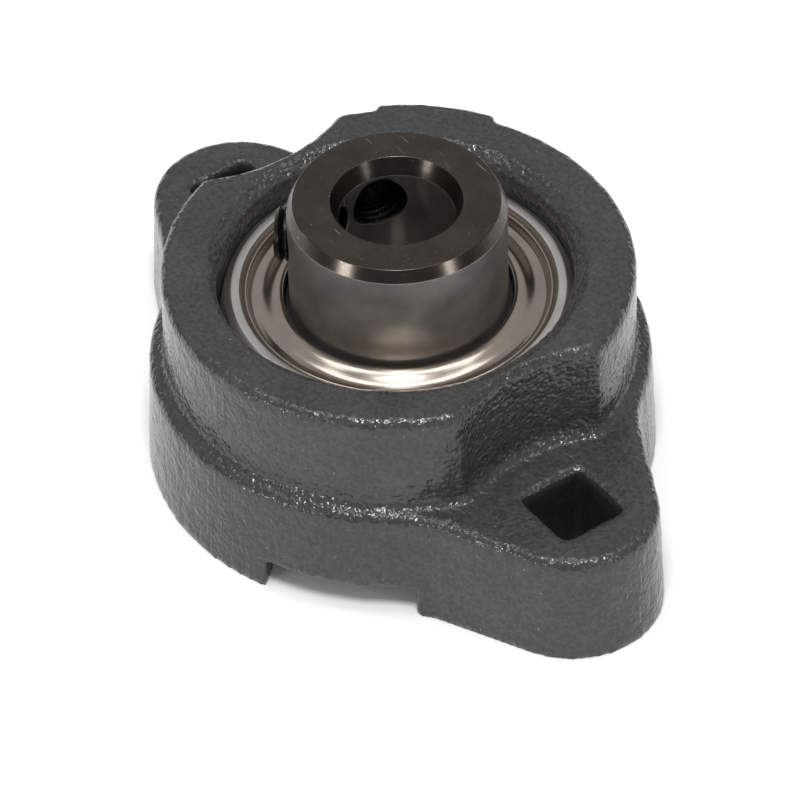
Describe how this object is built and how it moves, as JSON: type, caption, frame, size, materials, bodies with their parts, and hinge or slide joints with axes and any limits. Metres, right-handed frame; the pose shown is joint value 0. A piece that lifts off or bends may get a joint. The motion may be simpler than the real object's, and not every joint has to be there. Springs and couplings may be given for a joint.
{
  "type": "two-bolt flange bearing",
  "caption": "Flange bearing unit: a ball insert with set screws that swivels in a painted cast housing with square-holed ears, and carries a shaft square to a plate.",
  "frame": {"origin": "centre of the mounting face, on the axis of the shaft bore", "axes": "+Z along the shaft bore, away from the mounting face; +X through the middle of one ear"},
  "size_m": [0.0838, 0.0568, 0.0349],
  "materials": {
    "painted_casting": "satin paint over a sand-cast skin",
    "ground_steel": "ground",
    "dark_ground_steel": "ground, darkened",
    "ball_steel": "polished",
    "cage_steel": "pressed sheet",
    "shield_steel": "pressed bright sheet",
    "seal_rubber": "matte",
    "black_oxide_steel": "black oxide"
  },
  "bodies": {
    "housing": {"housing": "painted_casting"},
    "insert": {"outer_ring": "ground_steel", "front_shield": "shield_steel", "rear_shield": "shield_steel", "front_seal": "seal_rubber", "rear_seal": "seal_rubber"},
    "inner_ring": {"inner_ring": "dark_ground_steel"},
    "cage": {"cage_front": "cage_steel", "cage_rear": "cage_steel", "cage_rivets": "cage_steel"},
    "ball_1": {"ball_1": "ball_steel"},
    "ball_2": {"ball_2": "ball_steel"},
    "ball_3": {"ball_3": "ball_steel"},
    "ball_4": {"ball_4": "ball_steel"},
    "ball_5": {"ball_5": "ball_steel"},
    "ball_6": {"ball_6": "ball_steel"},
    "ball_7": {"ball_7": "ball_steel"},
    "ball_8": {"ball_8": "ball_steel"},
    "set_screw_1": {"set_screw_1": "black_oxide_steel"},
    "set_screw_2": {"set_screw_2": "black_oxide_steel"}
  },
  "joints": [
    {"name": "insert_swivel", "type": "hinge", "parent": "housing", "child": "insert", "pos_m": [0, 0, 0.0166], "axis": [0, 1, 0], "range_deg": [-3, 3]},
    {"name": "inner_ring_spin", "type": "hinge", "parent": "insert", "child": "inner_ring", "pos_m": [0, 0, 0.0166], "axis": [0, 0, 1], "continuous": true},
    {"name": "cage_spin", "type": "hinge", "parent": "insert", "child": "cage", "pos_m": [0, 0, 0.0166], "axis": [0, 0, 1], "continuous": true},
    {"name": "ball_1_spin", "type": "hinge", "parent": "cage", "child": "ball_1", "pos_m": [0.01018, 0.01018, 0.0166], "axis": [0, 0, 1], "continuous": true},
    {"name": "ball_2_spin", "type": "hinge", "parent": "cage", "child": "ball_2", "pos_m": [0, 0.0144, 0.0166], "axis": [0, 0, 1], "continuous": true},
    {"name": "ball_3_spin", "type": "hinge", "parent": "cage", "child": "ball_3", "pos_m": [-0.01018, 0.01018, 0.0166], "axis": [0, 0, 1], "continuous": true},
    {"name": "ball_4_spin", "type": "hinge", "parent": "cage", "child": "ball_4", "pos_m": [-0.0144, 0, 0.0166], "axis": [0, 0, 1], "continuous": true},
    {"name": "ball_5_spin", "type": "hinge", "parent": "cage", "child": "ball_5", "pos_m": [-0.01018, -0.01018, 0.0166], "axis": [0, 0, 1], "continuous": true},
    {"name": "ball_6_spin", "type": "hinge", "parent": "cage", "child": "ball_6", "pos_m": [0, -0.0144, 0.0166], "axis": [0, 0, 1], "continuous": true},
    {"name": "ball_7_spin", "type": "hinge", "parent": "cage", "child": "ball_7", "pos_m": [0.01018, -0.01018, 0.0166], "axis": [0, 0, 1], "continuous": true},
    {"name": "ball_8_spin", "type": "hinge", "parent": "cage", "child": "ball_8", "pos_m": [0.0144, 0, 0.0166], "axis": [0, 0, 1], "continuous": true},
    {"name": "set_screw_1_travel", "type": "slide", "parent": "inner_ring", "child": "set_screw_1", "axis": [0.9613, -0.2756, 0], "range_m": [-0.0015, 0.0021]},
    {"name": "set_screw_2_travel", "type": "slide", "parent": "inner_ring", "child": "set_screw_2", "axis": [0.6561, 0.7547, 0], "range_m": [-0.0015, 0.0021]}
  ],
  "couplings": [
    {"joint": "cage_spin", "follows": "inner_ring_spin", "ratio": 0.38289},
    {"joint": "ball_1_spin", "follows": "inner_ring_spin", "ratio": -2.0177},
    {"joint": "ball_2_spin", "follows": "inner_ring_spin", "ratio": -2.0177},
    {"joint": "ball_3_spin", "follows": "inner_ring_spin", "ratio": -2.0177},
    {"joint": "ball_4_spin", "follows": "inner_ring_spin", "ratio": -2.0177},
    {"joint": "ball_5_spin", "follows": "inner_ring_spin", "ratio": -2.0177},
    {"joint": "ball_6_spin", "follows": "inner_ring_spin", "ratio": -2.0177},
    {"joint": "ball_7_spin", "follows": "inner_ring_spin", "ratio": -2.0177},
    {"joint": "ball_8_spin", "follows": "inner_ring_spin", "ratio": -2.0177}
  ]
}
